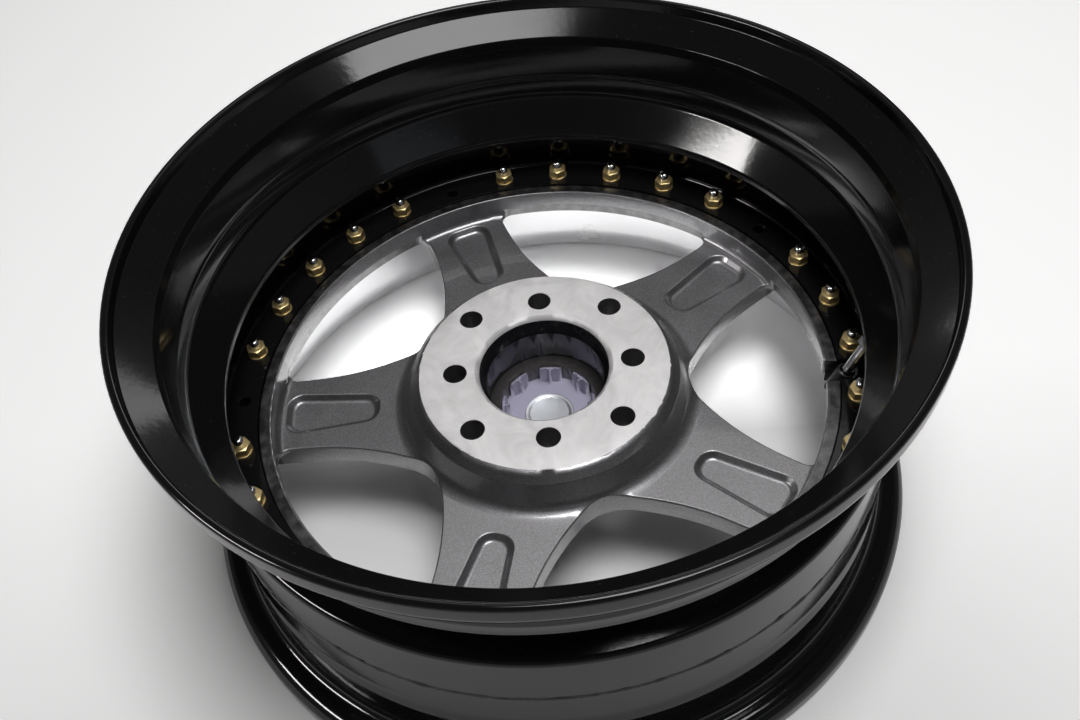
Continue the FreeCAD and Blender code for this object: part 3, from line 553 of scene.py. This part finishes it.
def node_copy(name, node):
    """Copy of a CAD node with its corners merged."""
    shape = bmesh.new()
    shape.from_mesh(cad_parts[node].data)
    bmesh.ops.remove_doubles(shape, verts=shape.verts[:], dist=2e-6)
    bmesh.ops.dissolve_degenerate(shape, edges=shape.edges[:], dist=1e-7)
    return new_object(name, shape)


def repeat(single, places):
    """Bmesh with a copy of one mesh at each place."""
    many = bmesh.new()
    for place in places:
        start = len(many.verts)
        many.from_mesh(single)
        many.verts.ensure_lookup_table()
        bmesh.ops.transform(many, matrix=place, verts=many.verts[start:])
    return many


def bay_angles(bay):
    """Angles of the bolts along one window."""
    side = BAY_BOLTS // 2
    return [360 / BAYS * bay + PITCH * k for k in range(-side, side + 1)]


def bolt_places(bay):
    """Placements on the bolt circle along one window."""
    out = Matrix.Translation((bpy.context.scene.car_wheel.rim.bolt_circle, 0, 0))
    return [Matrix.Rotation(math.radians(angle), 4, "Z") @ out for angle in bay_angles(bay)]


def flange_cutter(low, high, widen=0.0):
    """Cutter for the bolt holes of a flange, straight or widening to the top."""
    rim = bpy.context.scene.car_wheel.rim
    cutter = bmesh.new()
    angles = [PITCH * k for k in range(BAYS * (BAY_BOLTS + 1))]
    round_bars(cutter, rim.hole_radius, low, high, rim.bolt_circle, angles, rim.hole_radius + widen)
    return cutter


def valve_place():
    """Placement of the valve on the rim, with +Z to the tyre side."""
    lean = Matrix.Rotation(math.radians(VALVE_LEAN), 4, "Y")
    seat = Matrix.Translation((VALVE_RADIUS, 0, VALVE_HEIGHT)) @ lean
    return Matrix.Rotation(math.radians(-PITCH / 2), 4, "Z") @ seat


# Pieces
class WHEEL_OT_inner_barrel(bpy.types.Operator):
    """Turn the inner barrel and drill its bolted flange"""
    bl_idname = "wheel.inner_barrel"
    bl_label = "Inner barrel"

    def execute(self, context):
        rim = context.scene.car_wheel.rim
        tip, top = rim.tip_radius / MM, rim.top / MM
        seam, foot, bore = rim.seam_radius / MM, rim.seam_height / MM, rim.bore_radius / MM
        seat = rim.foot_top / MM
        shell = turned([
            (bore, foot), (seam - SEAM_CHAMFER, foot), (seam, foot + SEAM_CHAMFER), (seam, 21.26, 4),
            (WELL_OUTER, 26.72, 1), (WELL_OUTER, 30.1, 3.5), (SEAT_OUTER, 50.1, 8),
            (SEAT_OUTER, BARREL_HUMP - HUMP_HALF), (HUMP_OUTER, BARREL_HUMP, 6),
            (SEAT_OUTER, BARREL_HUMP + HUMP_HALF), (BEAD_OUTER, top - FLANGE_DEPTH, 6.5),
            (tip, top - FLANGE_DEPTH, 9.4), (tip, top, 2.15), (tip - FLANGE_WIDTH, top, 2.15),
            (tip - FLANGE_WIDTH, 99.3, 1), (FLANGE_FOOT, 88.3, 1), (BEAD_INNER, 83.05, 3),
            (SEAT_INNER, BARREL_HUMP + HUMP_HALF), (HUMP_INNER, BARREL_HUMP, 6),
            (SEAT_INNER, BARREL_HUMP - HUMP_HALF), (SEAT_INNER, 48.5, 8), (WELL_INNER, 28.5, 3.5),
            (WELL_INNER, 24.5, 1), (FOOT_WALL, 19.71, 1), (FOOT_WALL, seat, 3), (bore, seat),
        ], rim.turn_steps)
        item = new_object("barrel_shell", shell)
        low, high = rim.seam_height - 0.004, rim.foot_top + 0.002
        cut(item, flange_cutter(low, high))
        sink = rim.foot_top - rim.hole_chamfer
        cut(item, flange_cutter(sink, high, high - sink))
        cutter = bmesh.new()
        slot_bar(cutter, low, high)
        cut(item, cutter)
        cutter = bmesh.new()
        bmesh.ops.create_cone(
            cutter, cap_ends=True, segments=32, radius1=VALVE_HOLE, radius2=VALVE_HOLE, depth=0.02,
            matrix=valve_place())
        cut(item, cutter)
        dress(item, [finish("gloss_black_paint", black_paint)], ["inner_barrel"])
        return {"FINISHED"}


class WHEEL_OT_outer_lip(bpy.types.Operator):
    """Turn the outer lip, painted on the tyre side and polished on the face side"""
    bl_idname = "wheel.outer_lip"
    bl_label = "Outer lip"

    def execute(self, context):
        rim = context.scene.car_wheel.rim
        tip, low = rim.tip_radius / MM, rim.bottom / MM
        seam, foot, bore = rim.seam_radius / MM, rim.seam_height / MM, rim.bore_radius / MM
        shell = turned([
            (bore, foot - 5), (seam - 4.8, foot - 5, 4), (seam - 2, low + 19, 24), (LIP_FACE, low, 6),
            (tip, low, 2.15), (tip, low + FLANGE_DEPTH, 9.4), (BEAD_OUTER, low + FLANGE_DEPTH, 6.5),
            (SEAT_OUTER, LIP_HUMP - HUMP_HALF), (HUMP_OUTER, LIP_HUMP, 6),
            (SEAT_OUTER, LIP_HUMP + HUMP_HALF), (seam, LIP_HUMP + 2 * HUMP_HALF),
            (seam, foot - SEAM_CHAMFER), (seam - SEAM_CHAMFER, foot), (bore, foot),
        ], rim.turn_steps)
        for face in shell.faces:
            middle = face.calc_center_median()
            radial = Vector((middle.x, middle.y, 0)).normalized()
            if face.normal.dot(radial) < -0.05 or face.normal.z < -0.6:
                face.material_index = 1
        item = new_object("lip_shell", shell)
        under, over = rim.seam_height - 0.009, rim.seam_height + 0.004
        cut(item, flange_cutter(under, over))
        cutter = bmesh.new()
        slot_bar(cutter, under, over)
        cut(item, cutter)
        paints = [finish("gloss_black_paint", black_paint), finish("polished_aluminium", polished_metal)]
        dress(item, paints, ["outer_lip"])
        return {"FINISHED"}


class WHEEL_OT_seam_sealant(bpy.types.Operator):
    """Lay the bead of sealant along the seam"""
    bl_idname = "wheel.seam_sealant"
    bl_label = "Seam sealant"

    def execute(self, context):
        rim = context.scene.car_wheel.rim
        seam, foot = rim.seam_radius / MM, rim.seam_height / MM
        bead = turned([
            (seam - 1.4, foot), (seam, foot - 1.4), (seam + 0.7, foot, 1), (seam, foot + 1.4),
        ], 720)
        for vert in bead.verts:
            radial = Vector((vert.co.x, vert.co.y, 0))
            if radial.length > rim.seam_radius - 0.0002:
                lump = noise.noise(vert.co * 160) * 0.0005 + noise.noise(vert.co * 520) * 0.0003
                vert.co += radial.normalized() * lump
        item = new_object("sealant_bead", bead)
        dress(item, [finish("black_sealant", sealant_rubber)], ["seam_sealant"], 80)
        return {"FINISHED"}


class WHEEL_OT_spoke_centre(bpy.types.Operator):
    """Smooth and paint the cast five-spoke centre"""
    bl_idname = "wheel.spoke_centre"
    bl_label = "Spoke centre"

    def execute(self, context):
        item = node_copy("spoke_casting", "spoke_centre")
        dress(item, [finish("gunmetal_casting", gunmetal_casting)], ["spoke_centre"], 28)
        return {"FINISHED"}


def hexagon_blank(width, low, high, lower_chamfer, upper_chamfer):
    """Hexagon prism with its corners turned off by cones."""
    corner = width / math.sqrt(3)
    clear, flat = corner * 1.02, width * 0.47
    prism = bmesh.new()
    bmesh.ops.create_cone(
        prism, cap_ends=True, segments=6, radius1=corner, radius2=corner, depth=high - low,
        matrix=Matrix.Translation((0, 0, (low + high) / 2)) @ Matrix.Rotation(math.radians(30), 4, "Z"))
    item = new_object("hexagon", prism)
    drop = (clear - flat) * 0.5
    span = [(0, low / MM)]
    if lower_chamfer:
        span += [(flat / MM, low / MM), (clear / MM, (low + drop) / MM)]
    else:
        span += [(clear / MM, low / MM)]
    if upper_chamfer:
        span += [(clear / MM, (high - drop) / MM), (flat / MM, high / MM)]
    else:
        span += [(clear / MM, high / MM)]
    span += [(0, high / MM)]
    cut(item, turned(span, 64), "INTERSECT")
    return item


def take_mesh(item):
    """Mesh of an object that is no longer needed."""
    mesh = item.data
    bpy.data.objects.remove(item)
    return mesh


class WHEEL_OT_bolt_sets(bpy.types.Operator):
    """Make the rim bolts with their heads on the street side"""
    bl_idname = "wheel.bolt_sets"
    bl_label = "Rim bolts"

    def execute(self, context):
        size = context.scene.car_wheel.fasteners
        radius = size.shank_radius / MM
        low, tip = BOLT_BOX[0].z, BOLT_BOX[1].z / MM
        seat = low + size.head_height
        head = take_mesh(hexagon_blank(size.head_width, low, seat, True, False))
        root = seat / MM - 0.4
        shank = turned([(0, root), (radius, root), (radius, tip, 1.4), (0, tip)], 32)
        shank_mesh = bpy.data.meshes.new("shank")
        shank.to_mesh(shank_mesh)
        shank.free()
        for bay in range(BAYS):
            both = repeat(head, bolt_places(bay))
            rest = repeat(shank_mesh, bolt_places(bay))
            joined = bpy.data.meshes.new("shanks")
            rest.to_mesh(joined)
            rest.free()
            both.from_mesh(joined)
            bpy.data.meshes.remove(joined)
            item = new_object("bolt_set_%d" % (bay + 1), both)
            steel = finish("bright_steel", bright_steel)
            dress(item, [steel], ["bolts_bay_%d" % (bay + 1)], 35)
        bpy.data.meshes.remove(head)
        bpy.data.meshes.remove(shank_mesh)
        return {"FINISHED"}


class WHEEL_OT_nut_sets(bpy.types.Operator):
    """Make the plated nuts on the brake side"""
    bl_idname = "wheel.nut_sets"
    bl_label = "Rim nuts"

    def execute(self, context):
        size = context.scene.car_wheel.fasteners
        low, high = NUT_BOX[0].z, NUT_BOX[1].z
        blank = hexagon_blank(size.nut_width, low, high, True, True)
        bore = bmesh.new()
        round_bars(bore, size.shank_radius + 0.00005, low - 0.004, high + 0.004, 0, [0])
        cut(blank, bore)
        nut = take_mesh(blank)
        for bay in range(BAYS):
            item = new_object("nut_set_%d" % (bay + 1), repeat(nut, bolt_places(bay)))
            dress(item, [finish("gold_zinc", gold_zinc)], ["nuts_bay_%d" % (bay + 1)], 20)
        bpy.data.meshes.remove(nut)
        return {"FINISHED"}


class WHEEL_OT_washer_sets(bpy.types.Operator):
    """Make the plated washers under the nuts"""
    bl_idname = "wheel.washer_sets"
    bl_label = "Rim washers"

    def execute(self, context):
        size = context.scene.car_wheel.fasteners
        inner, outer = size.shank_radius / MM + 0.2, size.washer_radius / MM
        low, high = WASHER_BOX[0].z / MM, WASHER_BOX[1].z / MM
        ring = turned([(inner, low), (outer, low), (outer, high, 0.4), (inner, high)], 48)
        ring_mesh = bpy.data.meshes.new("ring")
        ring.to_mesh(ring_mesh)
        ring.free()
        for bay in range(BAYS):
            item = new_object("washer_set_%d" % (bay + 1), repeat(ring_mesh, bolt_places(bay)))
            dress(item, [finish("gold_zinc", gold_zinc)], ["washers_bay_%d" % (bay + 1)], 40)
        bpy.data.meshes.remove(ring_mesh)
        return {"FINISHED"}


class WHEEL_OT_tyre_valve(bpy.types.Operator):
    """Smooth and finish the clamp-in tyre valve"""
    bl_idname = "wheel.tyre_valve"
    bl_label = "Tyre valve"

    def execute(self, context):
        steel = finish("bright_steel", bright_steel)
        rubber = finish("black_rubber", black_rubber)
        looks = (
            ("valve_stem", steel, "valve_metal"),
            ("valve_washer", steel, "valve_metal"),
            ("valve_nut", steel, "valve_metal"),
            ("valve_core", steel, "valve_metal"),
            ("valve_seal", rubber, "valve_rubber"),
            ("valve_cap", rubber, "valve_cap_plastic"),
        )
        for node, mat, slot in looks:
            dress(node_copy(node + "_smooth", node), [mat], [node])
        return {"FINISHED"}


class WHEEL_OT_centre_cap(bpy.types.Operator):
    """Smooth and finish the centre cap and its plated disc"""
    bl_idname = "wheel.centre_cap"
    bl_label = "Centre cap"

    def execute(self, context):
        cap = node_copy("cap_moulding", "centre_cap")
        dress(cap, [finish("cap_plastic", moulded_plastic)], ["centre_cap"])
        disc = node_copy("disc_plate", "cap_disc")
        dress(disc, [finish("plated_disc", plated_disc)], ["cap_disc"])
        return {"FINISHED"}


# Studio
def floor_finish():
    """Matt white floor with painted light: paler to the camera and in reflections, most of all at the back
    inside the lip, with painted shade toward the front.
    """
    wheel = bpy.context.scene.car_wheel
    mat, tree, shader = new_material("white_floor")
    coords = object_coords(tree)
    cloud = noise_at(tree, coords, 3, 2)
    colour = wheel.studio.floor_colour
    join(tree, shader, "Base Color", mix_colour(tree, cloud, rgba(colour, 0.99), rgba(colour, 1.01)))
    shader.inputs["Roughness"].default_value = 0.6
    shader.inputs["Specular IOR Level"].default_value = 0.2
    path = add(tree, "LightPath")
    seen = calc(tree, "MAXIMUM", path.outputs["Is Camera Ray"], path.outputs["Is Glossy Ray"])
    seen = calc(tree, "MAXIMUM", seen, path.outputs["Is Transmission Ray"])
    edge = wheel.rim.tip_radius
    depth = axis_of(tree, coords, "Y")
    # Painted light: inside the lip the floor is made paler toward the back; outside it stays darker at the
    # front as painted shade; for camera and reflection rays only
    painted_dish_light = spread(tree, depth, 0.01, 0.08, 0.0, wheel.studio.painted_dish_light_level)
    painted_light_around = spread(tree, depth, -edge, 0.05, 0.1, wheel.studio.painted_floor_light_level)
    outside = spread(tree, axis_distance(tree, coords), edge - 0.012, edge - 0.008)
    lift = mix_value(tree, outside, painted_dish_light, painted_light_around)
    pale = add(tree, "BsdfDiffuse", Color=calc(tree, "MULTIPLY", seen, lift))
    both = add(tree, "AddShader", i0=shader.outputs[0], i1=pale.outputs[0])
    tree.links.new(both.outputs[0], tree.nodes["Material Output"].inputs["Surface"])
    return mat


def softbox(name, azimuth, elevation, distance, size, power, colour, gloss_only=False):
    """Rectangular lamp that faces the wheel from a direction, or that shows in reflections only."""
    lamp = bpy.data.lights.new(name, "AREA")
    lamp.shape = "RECTANGLE"
    lamp.size, lamp.size_y = size
    lamp.energy = power
    lamp.color = colour
    item = bpy.data.objects.new(name, lamp)
    flat = math.cos(math.radians(elevation))
    away = Vector((
        flat * math.cos(math.radians(azimuth)), flat * math.sin(math.radians(azimuth)),
        math.sin(math.radians(elevation))))
    item.location = away * distance
    item.rotation_euler = away.to_track_quat("Z", "Y").to_euler()
    item.visible_camera = False
    item.visible_diffuse = not gloss_only
    bpy.context.scene.collection.objects.link(item)


class WHEEL_OT_studio(bpy.types.Operator):
    """Lay the floor and set the lamps and the camera"""
    bl_idname = "wheel.studio"
    bl_label = "Studio"

    def execute(self, context):
        studio = context.scene.car_wheel.studio
        sheet = bmesh.new()
        bmesh.ops.create_grid(sheet, x_segments=1, y_segments=1, size=4)
        bmesh.ops.translate(sheet, vec=(0, 0, context.scene.car_wheel.rim.bottom), verts=sheet.verts[:])
        floor = new_object("floor", sheet)
        floor.data.materials.append(floor_finish())

        world = bpy.data.worlds.new("room")
        context.scene.world = world
        world.use_nodes = True
        room = world.node_tree
        background = room.nodes["Background"]
        background.inputs["Color"].default_value = (1.0, 0.99, 0.98, 1.0)
        height = axis_of(room, add(room, "TexCoord").outputs["Generated"], "Z")
        level = spread(room, height, 0.36, 0.55, studio.room_level, studio.ceiling_level)
        join(room, background, "Strength", level)

        softbox(
            "key_softbox", azimuth=-42, elevation=79, distance=1.9, size=(0.8, 0.8),
            power=studio.key_power, colour=(1.0, 1.0, 1.0))
        softbox(
            "rear_softbox", azimuth=84, elevation=64, distance=1.9, size=(1.1, 0.7),
            power=studio.rear_power, colour=(1.0, 0.99, 0.98))
        softbox(
            "back_strip", azimuth=90, elevation=24, distance=2.0, size=(1.1, 0.4),
            power=studio.back_power, colour=(1.0, 0.995, 0.99))
        softbox(
            "left_strip", azimuth=-160, elevation=27, distance=1.3, size=(0.5, 0.15),
            power=studio.left_power, colour=(1.0, 0.985, 0.97), gloss_only=True)
        softbox(
            "right_strip", azimuth=-52, elevation=33, distance=1.3, size=(0.6, 0.25),
            power=studio.right_power, colour=(0.82, 0.90, 1.0), gloss_only=True)

        camera = bpy.data.cameras.new("camera")
        camera.lens = studio.lens
        camera.sensor_fit = "HORIZONTAL"
        camera.sensor_width = 36
        camera.clip_start = 0.01
        eye = bpy.data.objects.new("camera", camera)
        turn = Matrix((CAMERA_RIGHT, CAMERA_UP, -CAMERA_AHEAD)).transposed().to_4x4()
        eye.matrix_world = Matrix.Translation(CAMERA_PLACE) @ turn
        context.scene.collection.objects.link(eye)
        context.scene.camera = eye
        context.scene.view_settings.view_transform = "Standard"
        return {"FINISHED"}


class WHEEL_PT_panel(bpy.types.Panel):
    """Sidebar list of the wheel's pieces"""
    bl_idname = "WHEEL_PT_panel"
    bl_label = "Car wheel"
    bl_space_type = "VIEW_3D"
    bl_region_type = "UI"
    bl_category = "Wheel"

    def draw(self, context):
        for operator in OPERATORS:
            self.layout.operator(operator.bl_idname)


OPERATORS = (
    WHEEL_OT_studio, WHEEL_OT_inner_barrel, WHEEL_OT_outer_lip, WHEEL_OT_seam_sealant, WHEEL_OT_spoke_centre,
    WHEEL_OT_bolt_sets, WHEEL_OT_nut_sets, WHEEL_OT_washer_sets, WHEEL_OT_tyre_valve, WHEEL_OT_centre_cap,
)
CLASSES = (RimSizes, FastenerSizes, Finishes, StudioSettings, WheelSettings, *OPERATORS, WHEEL_PT_panel)


def register():
    """Register the classes and the wheel's settings."""
    for item in CLASSES:
        bpy.utils.register_class(item)
    bpy.types.Scene.car_wheel = PointerProperty(type=WheelSettings)


def unregister():
    """Take the settings and the classes away again."""
    del bpy.types.Scene.car_wheel
    for item in reversed(CLASSES):
        bpy.utils.unregister_class(item)


def main():
    """Build the studio and every piece."""
    register()
    bpy.ops.wheel.studio()
    bpy.ops.wheel.inner_barrel()
    bpy.ops.wheel.outer_lip()
    bpy.ops.wheel.seam_sealant()
    bpy.ops.wheel.spoke_centre()
    bpy.ops.wheel.bolt_sets()
    bpy.ops.wheel.nut_sets()
    bpy.ops.wheel.washer_sets()
    bpy.ops.wheel.tyre_valve()
    bpy.ops.wheel.centre_cap()


if __name__ == "__main__":
    main()
